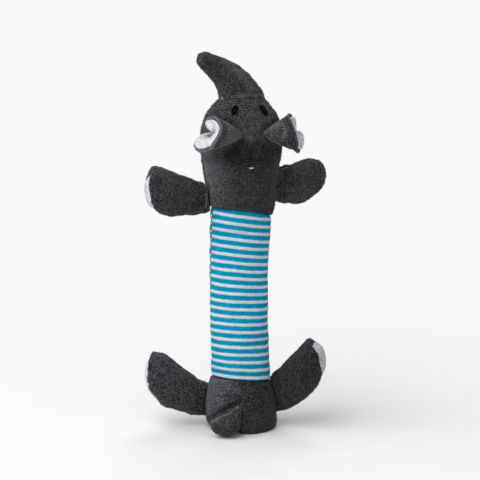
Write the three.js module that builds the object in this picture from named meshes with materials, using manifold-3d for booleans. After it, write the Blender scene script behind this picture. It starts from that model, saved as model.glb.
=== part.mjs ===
// A stuffed elephant stick toy with a squeaker in its body, standing upright on its rump.
// Millimetres, +Z up. The origin is the middle of the flat face that it stands on.
// The face looks along -Y. Left and right are as seen from in front of the face.
// The sewn body is twisted, so the rump and the tail look a little to the left of the face.

import * as THREE from "three";
import { mergeVertices } from "three/addons/utils/BufferGeometryUtils.js";
import Module from "manifold-3d";

const wasm = await Module();
wasm.setup();

// Fabric walls and clearances
const plushWall = 2;
const knitWall = 1.2;
const seamGap = 0.3;
const stuffingGap = 0.3;
const cutOverrun = 5;
const weldDistance = 0.0001;

// Rump
const rumpHeight = 35;
const rumpWidth = 47.3;
const rumpDepth = 40;
const rumpTurnAngle = -20;
const rumpSeamShift = 8;
const waistBallRadius = 45;

// Body sleeve
const sleeveHeight = 111;
const sleeveWidth = 39.7;
const sleeveDepth = 34;
const neckBallRadius = 45;
const neckBallShift = -3;
const sleeveBow = 1.6;

// Head
const headHeight = 72;
const headWidth = 54;
const headDepth = 42;
const trunkBallRadius = 24.3;
const trunkBallShift = 0.4;

// Trunk
const trunkRise = 30.3;
const trunkReach = 27.5;
const trunkWidth = 32.2;
const trunkDepth = 23;

// Eyes and chest tack
const eyeWidth = 4.2;
const eyeHeight = 7;
const eyeThread = 0.7;
const eyeSpread = 20;
const eyeBelowTop = 2.5;
const eyeLeanAngle = 20;
const tackWidth = 2.4;
const tackThread = 0.8;
const tackAboveNeck = 33;

// Ears
const earLeftLength = 22;
const earRightLength = 20.5;
const earHalfAngle = 23.5;
const earForwardAngle = 8;
const earLeftLiftAngle = 9;
const earRightLiftAngle = 4;
const earWall = 1.6;
const earLiningWall = 2.4;
const earTipRadius = 1.6;
const earNotch = 9.4;
const earNotchHalfAngle = 32;
const earNotchPower = 1.5;
const earDroop = 3.5;
const earLobe = 5.5;
const earSpread = 15;
const earBelowTop = 18.8;

// Arms
const armLength = 36;
const armHeight = 32;
const armThickness = 25;
const armLeftAboveNeck = 10;
const armRightAboveNeck = 17;
const armLeftLiftAngle = 11;
const armRightLiftAngle = -6;
const armLeftSwingAngle = 4;
const armRightSwingAngle = 27;
const armLeftSoleAngle = -5;
const armRightSoleAngle = -22;

// Feet
const footLeftLength = 39;
const footRightLength = 40.8;
const footHeight = 36;
const footThickness = 27;
const footRootLeftLevel = 21;
const footRootRightLevel = 22.5;
const footLeftLiftAngle = 22;
const footRightLiftAngle = 42;
const footLeftSwingAngle = 0;
const footRightSwingAngle = -12;
const footLeftSoleAngle = -3;
const footRightSoleAngle = -4;

// Soles
const soleEdge = 1;
const soleBulge = 2.6;

// Tail
const tailReach = 20.5;
const tailDrop = 16;
const tailWidth = 15;
const tailThickness = 11;
const tailRootLevel = 22.2;
const tailPanelWall = 1.2;

// Squeaker
const squeakerAboveWaist = 57;
const squeakerRadius = 14;
const squeakerWall = 1;
const squeakerDepth = 9;
const squeakerForward = 3;
const squeakerCapHeight = 6;
const squeakerDomeHeight = 2;
const squeakerSlideGap = 0.4;
const squeakerCapEntry = 1;
const squeakerPocketGap = 0.6;
const whistleRadius = 3.2;
const whistleBore = 2;
const whistleLength = 6;
const whistleFlangeRadius = 5;
const whistleFlange = 1;
const reedWidth = 2.4;
const reedThickness = 0.3;
const clipLength = 1.6;
const clipThickness = 0.9;

// Number of sides of each kind of piece
const bodySides = 24;
const limbSides = 16;
const trunkSides = 24;
const tailSides = 12;
const earSides = 18;
const roundSides = 24;
const smallSides = 12;

// Outlines, from bottom to top: share of the height, of the width and of the depth
const rumpShares = [
  [0, 0.72, 0.7],
  [0.024, 0.83, 0.82],
  [0.08, 0.92, 0.91],
  [0.21, 0.98, 0.98],
  [0.4, 1, 1],
  [0.6, 0.985, 0.985],
  [0.8, 0.93, 0.93],
  [1, 0.85, 0.865],
];
const sleeveShares = [
  [0, 0.985, 0.985],
  [0.12, 0.96, 0.98],
  [0.35, 0.955, 1],
  [0.65, 0.965, 1],
  [0.88, 0.985, 0.99],
  [1, 1, 1],
];
const headShares = [
  [0, 0.775, 0.85],
  [0.05, 0.8, 0.87],
  [0.18, 0.855, 0.9],
  [0.32, 0.915, 0.93],
  [0.46, 0.975, 0.96],
  [0.57, 1, 0.98],
  [0.69, 0.985, 1],
  [0.79, 0.94, 0.97],
  [0.875, 0.855, 0.88],
  [0.945, 0.73, 0.73],
  [1, 0.6, 0.5],
];

// The trunk from its seam to its tip: share of the reach to the left, of the rise, lean in degrees,
// share of the width and of the depth
const trunkShares = [
  [-0.03, 0, 0, 1, 1],
  [0.015, 0.19, 7, 0.865, 0.96],
  [0.09, 0.33, 14, 0.81, 0.92],
  [0.215, 0.48, 22, 0.735, 0.86],
  [0.385, 0.625, 33, 0.635, 0.78],
  [0.595, 0.755, 42, 0.53, 0.68],
  [0.79, 0.865, 47, 0.43, 0.57],
  [0.94, 0.965, 49, 0.33, 0.45],
  [1.03, 1.04, 50, 0, 0],
];

// A limb from its pinched root to its sole: share of the length, of the height and of the thickness
const limbShares = [
  [0, 0.63, 0],
  [0.1, 0.68, 0.28],
  [0.25, 0.77, 0.53],
  [0.5, 0.87, 0.8],
  [0.75, 1, 0.97],
  [0.92, 0.98, 0.97],
  [1, 0.88, 0.87],
];
const soleShares = [
  [1, 0],
  [0.86, 0.42],
  [0.5, 0.86],
  [0, 1],
];

// The tail from its root: share of the reach to the left, of the drop, lean in degrees,
// share of the width and of the thickness, and how far its middle stands out from the rump,
// as a share of half the thickness
const tailShares = [
  [0.05, 0, 165, 0.2, 0.12, 0.12],
  [0.08, 0.25, 160, 0.3, 0.36, 0.36],
  [0.15, 0.48, 146, 0.46, 0.6, 0.6],
  [0.24, 0.7, 132, 0.76, 0.85, 0.85],
  [0.37, 0.85, 125, 0.95, 1, 1],
  [0.63, 0.95, 116, 0.9, 0.95, 1],
  [0.88, 0.95, 104, 0.56, 0.6, 0.95],
  [0.99, 0.95, 98, 0, 0, 0.9],
];

// Steps between a ball's edge and its middle, along an ear's cone, and along a limb's root from its middle
const ballCapShares = [0.7, 0.35, 0];
const earStepShares = [0, 0.33, 0.67, 1];
const rootStepShares = [-1, -0.5, 0, 0.5, 1];

// The squeaker cap's dome, from its middle to its rim: share of the radius and of the dome's height
const capDomeShares = [
  [0, 1],
  [0.6, 1],
  [0.9, 0.5],
  [1, 0],
];

// Materials
const charcoalPlush = new THREE.MeshStandardMaterial({ color: 0x3c3e41, roughness: 0.95 });
const whitePlush = new THREE.MeshStandardMaterial({ color: 0xe6e2ec, roughness: 0.95 });
const stripedKnit = new THREE.MeshStandardMaterial({ color: 0x2f9ab3, roughness: 0.9 });
const blackThread = new THREE.MeshStandardMaterial({ color: 0x0b0b0d, roughness: 0.6 });
const whiteThread = new THREE.MeshStandardMaterial({ color: 0xc9c9cc, roughness: 0.7 });
const stuffing = new THREE.MeshStandardMaterial({ color: 0xf2f1ee, roughness: 1 });
const clearPlastic = new THREE.MeshStandardMaterial({ color: 0xe9ecef, roughness: 0.4 });

const rad = THREE.MathUtils.degToRad;
const point = (x, y, z) => new THREE.Vector3(x, y, z);
const forwards = point(0, -1, 0);

// The geometry is closed, without faces of no area, and its faces point out.
function closed(corners) {
  const soup = new THREE.BufferGeometry();
  soup.setAttribute("position", new THREE.Float32BufferAttribute(corners, 3));
  const merged = mergeVertices(soup, weldDistance);
  const index = Array.from(merged.index.array);
  const faces = [];
  for (let at = 0; at < index.length; at += 3) {
    const face = index.slice(at, at + 3);
    if (new Set(face).size === 3) faces.push(face);
  }
  const place = merged.attributes.position;
  const corner = (id) => new THREE.Vector3().fromBufferAttribute(place, id);
  const volume = faces.reduce(
    (sum, [a, b, c]) => sum + corner(a).dot(corner(b).cross(corner(c))), 0);
  const turned = volume < 0 ? faces.map(([a, b, c]) => [a, c, b]) : faces;
  merged.setIndex(turned.flat());
  merged.computeVertexNormals();
  return merged;
}

// Loops of points, each joined to the next. A zipped end joins the two halves of its loop.
function skin(loops, zipped) {
  const corners = [];
  const quad = (a, b, c, d) => {
    for (const p of [a, b, c, a, c, d]) corners.push(p.x, p.y, p.z);
  };
  const count = loops[0].length;
  for (let row = 1; row < loops.length; row += 1) {
    for (let i = 0; i < count; i += 1) {
      const next = (i + 1) % count;
      const [a, b, c, d] = [loops[row - 1][i], loops[row - 1][next], loops[row][next], loops[row][i]];
      // Both seam faces of a cover are split from the outside of one ring to the inside of the next.
      if (zipped && next === 0) quad(b, c, d, a);
      else quad(a, b, c, d);
    }
  }
  if (zipped) {
    const first = loops[0];
    const last = loops[loops.length - 1];
    for (let i = 0; i < count / 2 - 1; i += 1) {
      const across = count - 1 - i;
      quad(first[i + 1], first[i], first[across], first[across - 1]);
      quad(last[i], last[i + 1], last[across - 1], last[across]);
    }
  }
  return closed(corners);
}

// A ring is an oval section: its middle, its half width along wide, its half depth along front.
// Where it has a ball, its points lie on that ball.
function ring(middle, wide, front, halfWidth, halfDepth) {
  return { middle, wide, front, halfWidth, halfDepth };
}

function onBall(ball, radius, x, y) {
  return ball.z + Math.sqrt(radius ** 2 - (x - ball.x) ** 2 - (y - ball.y) ** 2);
}

function seated(section, ball, radius) {
  return { ...section, ball, radius };
}

function onRing(section, angle, shift) {
  const place = section.middle.clone();
  place.addScaledVector(section.wide, section.halfWidth * Math.cos(angle));
  place.addScaledVector(section.front, section.halfDepth * Math.sin(angle) + shift);
  if (section.ball) place.z = onBall(section.ball, section.radius, place.x, place.y);
  return place;
}

function arc(section, from, to, steps, shift) {
  const places = [];
  for (let i = 0; i <= steps; i += 1) {
    places.push(onRing(section, from + (to - from) * i / steps, shift));
  }
  return places;
}

// A solid form whose first and last rings have no width or no depth
function form(rings, sides) {
  return skin(rings.map((section) => arc(section, 2 * Math.PI, 0, sides, 0).slice(0, sides)), false);
}

// Half a cover, front or back, between its outer and inner rings
function panel(outer, inner, side, sides) {
  const from = side > 0 ? 0 : Math.PI;
  const shift = side * seamGap / 2;
  const loops = outer.map((section, row) => [
    ...arc(section, from, from + Math.PI, sides / 2, shift),
    ...arc(inner[row], from, from + Math.PI, sides / 2, shift).reverse(),
  ]);
  return skin(loops, true);
}

function flatCap(section) {
  return { ...section, halfWidth: 0, halfDepth: 0 };
}

// Smaller and smaller rings on the ball, to the point in the middle
function ballCap(section) {
  return ballCapShares.map((share) => ({
    ...section, halfWidth: share * section.halfWidth, halfDepth: share * section.halfDepth }));
}

function toManifold(geometry) {
  return new wasm.Manifold(new wasm.Mesh({
    numProp: 3,
    vertProperties: Float32Array.from(geometry.attributes.position.array),
    triVerts: Uint32Array.from(geometry.index.array),
  }));
}

function fromManifold(solid) {
  const mesh = solid.getMesh();
  const corners = [];
  for (const id of mesh.triVerts) {
    for (let axis = 0; axis < 3; axis += 1) corners.push(mesh.vertProperties[id * mesh.numProp + axis]);
  }
  return closed(corners);
}

function shapeToManifold(geometry) {
  geometry.deleteAttribute("normal");
  geometry.deleteAttribute("uv");
  return toManifold(mergeVertices(geometry, weldDistance));
}

function add(parent, name, geometry, material) {
  const mesh = new THREE.Mesh(geometry, material);
  mesh.name = name;
  parent.add(mesh);
  return mesh;
}

// Levels and balls of the body's stack, and levels of what it carries
const sleeveBase = rumpHeight;
const headBase = sleeveBase + sleeveHeight;
const headTop = headBase + headHeight;
const squeakerLevel = sleeveBase + squeakerAboveWaist;
const tackLevel = headBase + tackAboveNeck;
const earLevel = headTop - earBelowTop;
const eyeLevel = headTop - eyeBelowTop;

function ballUnder(level, radius, halfWidth, shift) {
  return point(shift, 0, level - Math.sqrt(radius ** 2 - halfWidth ** 2));
}

const lastOf = (table) => table[table.length - 1];
const waistBall = ballUnder(rumpHeight, waistBallRadius, lastOf(rumpShares)[1] * rumpWidth / 2, 0);
const neckBall = ballUnder(headBase, neckBallRadius, sleeveWidth / 2, neckBallShift);
const trunkBall = ballUnder(headTop, trunkBallRadius, trunkWidth / 2, trunkBallShift);

// Rings of a part of the body's stack, with their skin taken off, turned by a function of the share
// and bowed to the left half way up
function stack(table, base, height, width, depth, wall, turnAt, bow) {
  return table.map(([up, across, through]) => {
    const turn = rad(turnAt(up));
    const wide = point(Math.cos(turn), Math.sin(turn), 0);
    const front = point(Math.sin(turn), -Math.cos(turn), 0);
    const middle = point(-bow * Math.sin(Math.PI * up), 0, base + up * height);
    return ring(middle, wide, front, across * width / 2 - wall, through * depth / 2 - wall);
  });
}

// Rump, in its own frame, which rumpTurnAngle turns about +Z
function rumpRings(wall, ballRadius) {
  const straight = () => 0;
  const rings = stack(
    rumpShares, wall, rumpHeight - wall, rumpWidth, rumpDepth, wall, straight, 0);
  const top = seated(rings.pop(), waistBall, ballRadius);
  const base = flatCap(rings[0]);
  base.middle = point(0, rumpSeamShift, wall);
  return [base, ...rings, top];
}

function addRump(parent) {
  const radius = waistBallRadius;
  const outer = rumpRings(0, radius);
  const inner = rumpRings(plushWall, radius);
  add(parent, "rump_front_panel", panel(outer, inner, 1, bodySides), charcoalPlush);
  add(parent, "rump_back_panel", panel(outer, inner, -1, bodySides), charcoalPlush);
  const core = rumpRings(plushWall + stuffingGap, radius);
  add(parent, "rump_stuffing", form([...core, ...ballCap(lastOf(core))], bodySides), stuffing);
}

// Body sleeve, twisted from the rump's turn at its foot to none at its top
function sleeveRings(wall, footRadius, topRadius) {
  const twist = (up) => rumpTurnAngle * (1 - up);
  const rings = stack(
    sleeveShares, sleeveBase, sleeveHeight, sleeveWidth, sleeveDepth, wall, twist, sleeveBow);
  const foot = seated(rings.shift(), waistBall, footRadius);
  const top = seated(rings.pop(), neckBall, topRadius);
  return [foot, ...rings, top];
}

function squeakerPocket() {
  const radius = squeakerRadius + squeakerPocketGap;
  const front = squeakerPlaces.capTop - squeakerPocketGap;
  const back = squeakerPlaces.whistleEnd + squeakerPocketGap;
  const drum = shapeToManifold(new THREE.CylinderGeometry(radius, radius, back - front, roundSides));
  return drum.translate(0, (front + back) / 2, squeakerLevel);
}

function bodyHalf(core, side, pocket) {
  const box = shapeToManifold(new THREE.BoxGeometry(
    sleeveWidth + 2 * cutOverrun, sleeveDepth, sleeveHeight + neckBallRadius + waistBallRadius));
  const shift = side * (sleeveDepth + stuffingGap) / 2;
  const half = box.translate(0, -shift, sleeveBase + sleeveHeight / 2);
  return fromManifold(core.intersect(half).subtract(pocket));
}

function addSleeve(parent) {
  const outer = sleeveRings(0, waistBallRadius + seamGap, neckBallRadius);
  const inner = sleeveRings(knitWall, waistBallRadius + seamGap, neckBallRadius);
  add(parent, "sleeve_front_panel", panel(outer, inner, 1, bodySides), stripedKnit);
  add(parent, "sleeve_back_panel", panel(outer, inner, -1, bodySides), stripedKnit);
  const rings = sleeveRings(knitWall + stuffingGap, waistBallRadius + seamGap, neckBallRadius);
  const foot = ballCap(rings[0]).reverse();
  const core = toManifold(form([...foot, ...rings, ...ballCap(lastOf(rings))], bodySides));
  const pocket = squeakerPocket();
  add(parent, "body_stuffing_front", bodyHalf(core, 1, pocket), stuffing);
  add(parent, "body_stuffing_back", bodyHalf(core, -1, pocket), stuffing);
}

// Squeaker: a cap that slides into a base cup, with a whistle in the cup's floor. Its axis is Y.
const squeakerPlaces = (() => {
  const rim = -squeakerForward;
  const floor = rim + squeakerDepth;
  const skirtEnd = rim + squeakerCapEntry;
  return {
    rim,
    floor,
    skirtEnd,
    capTop: skirtEnd - squeakerCapHeight,
    whistleEnd: floor - squeakerWall - whistleFlange - seamGap + whistleLength,
  };
})();

function turned(outline, sides) {
  const lathe = new THREE.LatheGeometry(outline.map(([r, y]) => new THREE.Vector2(r, y)), sides);
  const flat = lathe.toNonIndexed();
  return closed(Array.from(flat.attributes.position.array));
}

function addSqueaker(parent) {
  const group = new THREE.Group();
  group.position.z = squeakerLevel;
  parent.add(group);
  const { rim, floor, skirtEnd, capTop, whistleEnd } = squeakerPlaces;
  const cupInner = squeakerRadius - squeakerWall;
  const hole = whistleRadius + seamGap;
  const cup = [
    [hole, floor], [squeakerRadius, floor], [squeakerRadius, rim], [cupInner, rim],
    [cupInner, floor - squeakerWall], [hole, floor - squeakerWall], [hole, floor],
  ];
  add(group, "squeaker_base", turned(cup, roundSides), clearPlastic);

  const capRadius = cupInner - squeakerSlideGap;
  const shoulder = capTop + squeakerDomeHeight;
  const dome = (radius, foot) => capDomeShares.map(
    ([out, up]) => [out * radius, foot - up * squeakerDomeHeight]);
  const capInner = capRadius - squeakerWall;
  const cap = [
    ...dome(capRadius, shoulder), [capRadius, skirtEnd],
    [capInner, skirtEnd], ...dome(capInner, shoulder + squeakerWall).reverse(),
  ];
  add(group, "squeaker_cap", turned(cap, roundSides), clearPlastic);

  const flangeBack = floor - squeakerWall - seamGap;
  const flangeFront = flangeBack - whistleFlange;
  const whistle = [
    [whistleBore, flangeFront], [whistleFlangeRadius, flangeFront], [whistleFlangeRadius, flangeBack],
    [whistleRadius, flangeBack], [whistleRadius, whistleEnd], [whistleBore, whistleEnd],
    [whistleBore, flangeFront],
  ];
  add(group, "whistle_body", turned(whistle, smallSides), clearPlastic);

  const reedLength = 2 * whistleFlangeRadius - clipLength;
  const reedBack = flangeFront - seamGap;
  const reedMesh = add(group, "whistle_reed",
    new THREE.BoxGeometry(reedWidth, reedThickness, reedLength), clearPlastic);
  const reedLevel = (reedLength + seamGap) / 2 - whistleFlangeRadius;
  reedMesh.position.set(0, reedBack - reedThickness / 2, reedLevel);
  const clip = add(group, "reed_clip",
    new THREE.BoxGeometry(reedWidth, clipThickness, clipLength), clearPlastic);
  const clipLevel = reedLevel + (reedLength + clipLength) / 2 + seamGap;
  clip.position.set(0, reedBack - clipThickness / 2, clipLevel);
}

// Head, its eyes and its chest tack
function headRings(wall, neckRadius, trunkRadius) {
  const straight = () => 0;
  const rings = stack(
    headShares, headBase, headHeight, headWidth, headDepth, wall, straight, 0);
  const foot = seated(rings.shift(), neckBall, neckRadius);
  const top = seated(rings.pop(), trunkBall, trunkRadius);
  return [foot, ...rings, top];
}

// A patch of thread that follows the head: an oval cut, along Y, from a skin that lies over the head
function headPatch(width, height, thread, x, level, lean) {
  const gap = seamGap;
  const over = headRings(-(gap + thread), neckBallRadius + seamGap, trunkBallRadius + gap + thread);
  const under = headRings(-gap, neckBallRadius + seamGap, trunkBallRadius + gap);
  const shell = (rings) => toManifold(form(
    [...ballCap(rings[0]).reverse(), ...rings, ...ballCap(lastOf(rings))], bodySides));
  const bar = new THREE.CylinderGeometry(width / 2, width / 2, headDepth, smallSides);
  bar.scale(1, 1, height / width);
  bar.rotateY(rad(lean));
  bar.translate(x, -headDepth / 2, level);
  return fromManifold(shell(over).subtract(shell(under)).intersect(shapeToManifold(bar)));
}

function addHead(parent) {
  const outer = headRings(0, neckBallRadius + seamGap, trunkBallRadius);
  const inner = headRings(plushWall, neckBallRadius + seamGap, trunkBallRadius);
  add(parent, "head_front_panel", panel(outer, inner, 1, bodySides), charcoalPlush);
  add(parent, "head_back_panel", panel(outer, inner, -1, bodySides), charcoalPlush);
  const core = headRings(plushWall + stuffingGap, neckBallRadius + seamGap, trunkBallRadius);
  const foot = ballCap(core[0]).reverse();
  add(parent, "head_stuffing", form([...foot, ...core, ...ballCap(lastOf(core))], bodySides), stuffing);
  for (const [name, side] of [["left_eye", -1], ["right_eye", 1]]) {
    const x = side * eyeSpread / 2;
    const eye = headPatch(eyeWidth, eyeHeight, eyeThread, x, eyeLevel, -side * eyeLeanAngle);
    add(parent, name, eye, blackThread);
  }
  const tack = headPatch(tackWidth, tackWidth, tackThread, 0, tackLevel, 0);
  add(parent, "chest_tack", tack, whiteThread);
}

// Trunk, from its seam on top of the head up and to the left
function trunkRings(wall, ballRadius) {
  const length = Math.hypot(trunkRise, trunkReach);
  const keep = 1 - wall / length;
  const rings = trunkShares.map(([left, up, lean, across, through]) => {
    const wide = point(Math.cos(rad(lean)), 0, Math.sin(rad(lean)));
    const middle = point(-left * keep * trunkReach, 0, headTop + up * keep * trunkRise);
    const halfWidth = Math.max(across * trunkWidth / 2 - wall, 0);
    return ring(middle, wide, forwards, halfWidth, Math.max(through * trunkDepth / 2 - wall, 0));
  });
  return [seated(rings[0], trunkBall, ballRadius), ...rings.slice(1)];
}

function addTrunk(parent) {
  const radius = trunkBallRadius + seamGap;
  const outer = trunkRings(0, radius);
  const inner = trunkRings(plushWall, radius);
  add(parent, "trunk_front_panel", panel(outer, inner, 1, trunkSides), charcoalPlush);
  add(parent, "trunk_back_panel", panel(outer, inner, -1, trunkSides), charcoalPlush);
  const core = trunkRings(plushWall + stuffingGap, radius);
  add(parent, "trunk_stuffing", form([...ballCap(core[0]).reverse(), ...core], trunkSides), stuffing);
}

// A limb along +X or -X from its pinched root, which is a straight edge on the Z axis.
// The flare is how far that edge leans out from upright.
function limbRings(size, wall, side) {
  const start = wall / (limbShares[1][2] * size.thickness / 2) * limbShares[1][0];
  const rise = Math.tan(rad(size.lift) + size.flare);
  return limbShares.map(([along, tall, thick]) => {
    const at = Math.max(along, start) * size.length * Math.cos(rad(size.lift));
    const lean = (rad(size.soleLean) + size.flare) * along;
    const up = point(-side * Math.sin(lean), 0, Math.cos(lean));
    const middle = point(side * at, 0, at * rise);
    const halfDepth = Math.max(thick * size.thickness / 2 - wall, 0);
    return ring(middle, up, forwards, tall * size.height / 2 - wall, halfDepth);
  });
}

function sole(size, side) {
  const rim = lastOf(limbRings(size, 0, side));
  const outward = rim.wide.clone().cross(forwards).multiplyScalar(side);
  const ringAt = (share, distance) => {
    const middle = rim.middle.clone().addScaledVector(outward, distance);
    return ring(middle, rim.wide, rim.front, share * rim.halfWidth, share * rim.halfDepth);
  };
  const dome = soleShares.map(([across, out]) => ringAt(across, seamGap + soleEdge + out * soleBulge));
  return form([ringAt(0, seamGap), ringAt(1, seamGap), ...dome], limbSides);
}

function addLimb(parent, name, size, side, place) {
  const group = new THREE.Group();
  group.position.copy(place);
  group.rotation.set(0, side * size.flare, side * rad(size.swingBack));
  parent.add(group);
  const outer = limbRings(size, 0, side);
  const inner = limbRings(size, plushWall, side);
  add(group, `${name}_front_panel`, panel(outer, inner, 1, limbSides), charcoalPlush);
  add(group, `${name}_back_panel`, panel(outer, inner, -1, limbSides), charcoalPlush);
  const core = limbRings(size, plushWall + stuffingGap, side);
  add(group, `${name}_stuffing`, form([...core, flatCap(lastOf(core))], limbSides), stuffing);
  add(group, `${name}_sole`, sole(size, side), whitePlush);
}

// Half the width or the depth of a stack at a level, from that column of its table
const widthColumn = 1;
const depthColumn = 2;

function halfSizeAt(table, column, base, height, size, level) {
  const share = Math.min((level - base) / height, 1);
  const above = Math.max(1, table.findIndex(([up]) => up >= share));
  const [low, high] = [table[above - 1], table[above]];
  const part = (share - low[0]) / (high[0] - low[0]);
  return (low[column] + part * (high[column] - low[column])) * size / 2;
}

// The line along the body's side that a limb's root follows, just clear of the body
function rootLine(table, base, height, width, level, rootHalf, side) {
  const widthAt = (z) => halfSizeAt(table, widthColumn, base, height, width, z);
  const slope = (widthAt(level + rootHalf) - widthAt(level - rootHalf)) / (2 * rootHalf);
  const steps = rootStepShares.map((share) => share * rootHalf);
  const reach = Math.max(...steps.map((step) => widthAt(level + step) - slope * step));
  return { place: point(side * (reach + seamGap), 0, level), flare: Math.atan(slope) };
}

function addArm(parent, name, side, level, lift, swingBack, soleLean) {
  const rootHalf = limbShares[0][1] * armHeight / 2;
  const { place, flare } = rootLine(headShares, headBase, headHeight, headWidth, level, rootHalf, side);
  const size = {
    length: armLength, height: armHeight, thickness: armThickness, lift, swingBack, soleLean, flare };
  addLimb(parent, name, size, side, place);
}

function addFoot(parent, name, side, level, length, lift, swingBack, soleLean) {
  const rootHalf = limbShares[0][1] * footHeight / 2;
  const { place, flare } = rootLine(rumpShares, 0, rumpHeight, rumpWidth, level, rootHalf, side);
  const size = { length, height: footHeight, thickness: footThickness, lift, swingBack, soleLean, flare };
  addLimb(parent, name, size, side, place);
}

// An ear is a fan of cloth rolled into a cone, whose two edges meet in a notch at the back.
// The length is along the cone's axis, and the angle runs from the front over the top.
function earReach(angle, length) {
  const back = 1 - Math.abs(Math.PI - angle) / rad(earNotchHalfAngle);
  const notch = earNotch * Math.max(0, back) ** earNotchPower;
  return length - earDroop * Math.sin(angle) + earLobe * (1 - Math.cos(angle)) / 2 - notch;
}

// Loops of the cone that lies a given depth inside the ear's outer face, from tip to rim
function earLoops(inset, side, length) {
  const flare = Math.tan(rad(earHalfAngle));
  const shrink = inset / Math.cos(rad(earHalfAngle)) - earTipRadius;
  const start = Math.max(0, shrink / flare);
  return earStepShares.map((share) => {
    const places = [];
    for (let i = 0; i < earSides; i += 1) {
      const angle = 2 * Math.PI * i / earSides;
      const out = start + share * (earReach(angle, length) - start);
      const radius = Math.max(0, out * flare - shrink);
      places.push(point(side * out, -radius * Math.cos(angle), radius * Math.sin(angle)));
    }
    return places;
  });
}

function earCup(inset, wall, side, length) {
  const outside = earLoops(inset, side, length);
  const tip = Array(earSides).fill(point(outside[0][0].x, 0, 0));
  return skin([tip, ...outside, ...earLoops(inset + wall, side, length).reverse()], false);
}

function addEar(parent, name, side, length, lift) {
  const x = earSpread / 2;
  const halfWidth = halfSizeAt(headShares, widthColumn, headBase, headHeight, headWidth, earLevel);
  const halfDepth = halfSizeAt(headShares, depthColumn, headBase, headHeight, headDepth, earLevel);
  const surface = halfDepth * Math.sqrt(1 - (x / halfWidth) ** 2);
  const group = new THREE.Group();
  group.position.set(side * x, -(surface + seamGap + earTipRadius), earLevel);
  group.rotation.set(0, -side * rad(lift), -side * rad(earForwardAngle));
  parent.add(group);
  add(group, `${name}_outer`, earCup(0, earWall, side, length), charcoalPlush);
  add(group, `${name}_lining`, earCup(earWall + seamGap, earLiningWall, side, length), whitePlush);
}

// Tail, in the rump's frame, hanging against the front of the rump and curling to the left
function tailRings(wall) {
  const rings = tailShares.map(([left, down, lean, across, thick, out]) => {
    const angle = rad(lean);
    const wide = point(Math.cos(angle), 0, Math.sin(angle));
    const middle = point(-left * (tailReach - wall), -out * tailThickness / 2, -down * tailDrop);
    const halfWidth = Math.max(across * tailWidth / 2 - wall, 0);
    return ring(middle, wide, forwards, halfWidth, Math.max(thick * tailThickness / 2 - wall, 0));
  });
  return [flatCap(rings[0]), ...rings];
}

function addTail(parent) {
  const group = new THREE.Group();
  group.position.set(0, -(rumpDepth / 2 + seamGap), tailRootLevel);
  parent.add(group);
  const outer = tailRings(0);
  const inner = tailRings(tailPanelWall);
  add(group, "tail_front_panel", panel(outer, inner, 1, tailSides), charcoalPlush);
  add(group, "tail_back_panel", panel(outer, inner, -1, tailSides), charcoalPlush);
  add(group, "tail_stuffing", form(tailRings(tailPanelWall + stuffingGap), tailSides), stuffing);
}

const toy = new THREE.Group();
const rumpGroup = new THREE.Group();
rumpGroup.rotation.z = rad(rumpTurnAngle);
toy.add(rumpGroup);
addRump(rumpGroup);
addTail(rumpGroup);
addFoot(rumpGroup, "left_foot", -1, footRootLeftLevel, footLeftLength,
  footLeftLiftAngle, footLeftSwingAngle, footLeftSoleAngle);
addFoot(rumpGroup, "right_foot", 1, footRootRightLevel, footRightLength,
  footRightLiftAngle, footRightSwingAngle, footRightSoleAngle);
addSleeve(toy);
addSqueaker(toy);
addHead(toy);
addTrunk(toy);
addArm(toy, "left_arm", -1, headBase + armLeftAboveNeck,
  armLeftLiftAngle, armLeftSwingAngle, armLeftSoleAngle);
addArm(toy, "right_arm", 1, headBase + armRightAboveNeck,
  armRightLiftAngle, armRightSwingAngle, armRightSoleAngle);
addEar(toy, "left_ear", -1, earLeftLength, earLeftLiftAngle);
addEar(toy, "right_ear", 1, earRightLength, earRightLiftAngle);

export default toy;
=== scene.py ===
import math

import bpy
import numpy as np
from mathutils import Matrix, Vector, noise
from mathutils.bvhtree import BVHTree


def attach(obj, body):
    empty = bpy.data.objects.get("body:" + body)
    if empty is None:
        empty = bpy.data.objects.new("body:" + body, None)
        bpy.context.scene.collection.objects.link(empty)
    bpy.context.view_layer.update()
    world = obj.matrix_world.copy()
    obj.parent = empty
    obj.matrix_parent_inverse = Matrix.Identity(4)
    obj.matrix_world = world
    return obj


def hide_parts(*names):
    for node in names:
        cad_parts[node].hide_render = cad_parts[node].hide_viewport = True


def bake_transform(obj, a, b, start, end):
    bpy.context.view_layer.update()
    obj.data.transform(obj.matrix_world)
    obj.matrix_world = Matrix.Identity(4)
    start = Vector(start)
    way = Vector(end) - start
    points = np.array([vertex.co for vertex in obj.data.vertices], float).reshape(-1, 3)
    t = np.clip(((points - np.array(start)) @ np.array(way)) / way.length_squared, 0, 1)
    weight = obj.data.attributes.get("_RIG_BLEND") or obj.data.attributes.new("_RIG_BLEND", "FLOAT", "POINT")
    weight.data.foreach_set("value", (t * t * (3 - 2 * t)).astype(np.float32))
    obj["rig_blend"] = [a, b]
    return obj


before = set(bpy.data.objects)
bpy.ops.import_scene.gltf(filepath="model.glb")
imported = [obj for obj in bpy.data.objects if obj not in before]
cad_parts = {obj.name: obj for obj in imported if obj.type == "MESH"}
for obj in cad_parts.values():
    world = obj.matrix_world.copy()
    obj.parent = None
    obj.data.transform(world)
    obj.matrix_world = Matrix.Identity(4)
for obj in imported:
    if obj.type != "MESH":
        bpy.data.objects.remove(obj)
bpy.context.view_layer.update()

scene = bpy.context.scene
MM = 0.001
SIM = 10.0                  # cloth is simulated at ten times its size
ABOVE_FLOOR = 0.00005       # no cloth lies lower than this


# ------ mesh tools
def coords(obj, key="co"):
    """The places of an object's points, in metres, as rows."""
    out = np.empty(len(obj.data.vertices) * 3, np.float32)
    obj.data.vertices.foreach_get(key, out)
    return out.reshape(-1, 3).astype(float)


def normals(obj):
    return coords(obj, "normal")


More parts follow.
